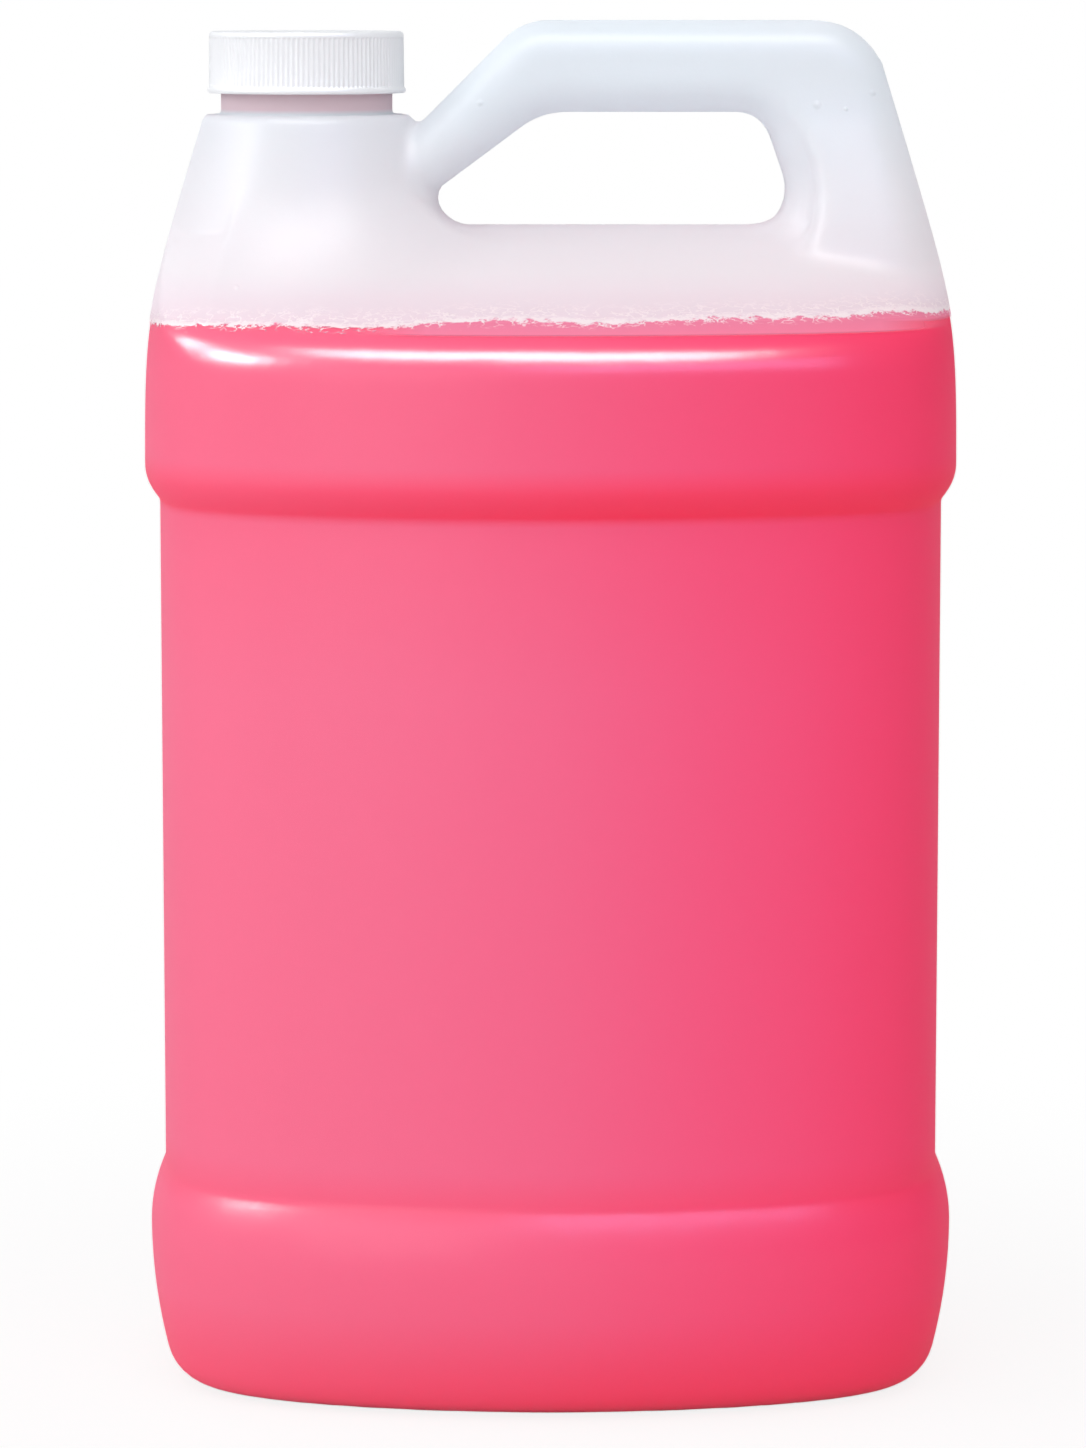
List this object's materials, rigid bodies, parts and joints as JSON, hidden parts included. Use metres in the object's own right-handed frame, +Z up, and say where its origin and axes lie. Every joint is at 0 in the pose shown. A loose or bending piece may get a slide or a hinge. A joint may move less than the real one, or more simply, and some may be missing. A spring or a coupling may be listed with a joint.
{
  "type": "glass cleaner jug",
  "caption": "Blow-moulded jug of pink glass cleaner with a pinched-through grip and a ribbed screw cap that turns and rises on its thread.",
  "frame": {"origin": "centre of the bounding box's base, on the floor under the jug", "axes": "+Z up, +Y to the back across the parting plane, +X from the neck to the rear column of the handle"},
  "size_m": [0.171, 0.13, 0.2851],
  "materials": {
    "jug_plastic": "satin natural polyethylene, see-through",
    "cleaner": "clear pink liquid",
    "cap_plastic": "white polypropylene",
    "liner_foam": "white foam"
  },
  "bodies": {
    "jug": {"jug": "jug_plastic", "cleaner_liquid": "cleaner"},
    "liner": {"cap_liner": "liner_foam"},
    "cap": {"screw_cap": "cap_plastic"}
  },
  "joints": [
    {"name": "cap_rise", "type": "slide", "parent": "jug", "child": "liner", "axis": [0, 0, 1], "range_m": [0, 0.0054]},
    {"name": "cap_turn", "type": "hinge", "parent": "liner", "child": "cap", "pos_m": [-0.051, 0, 0.276], "axis": [0, 0, 1], "range_deg": [0, 450]}
  ],
  "couplings": [
    {"joint": "cap_rise", "follows": "cap_turn", "m_per_rad": 0.00067323}
  ]
}
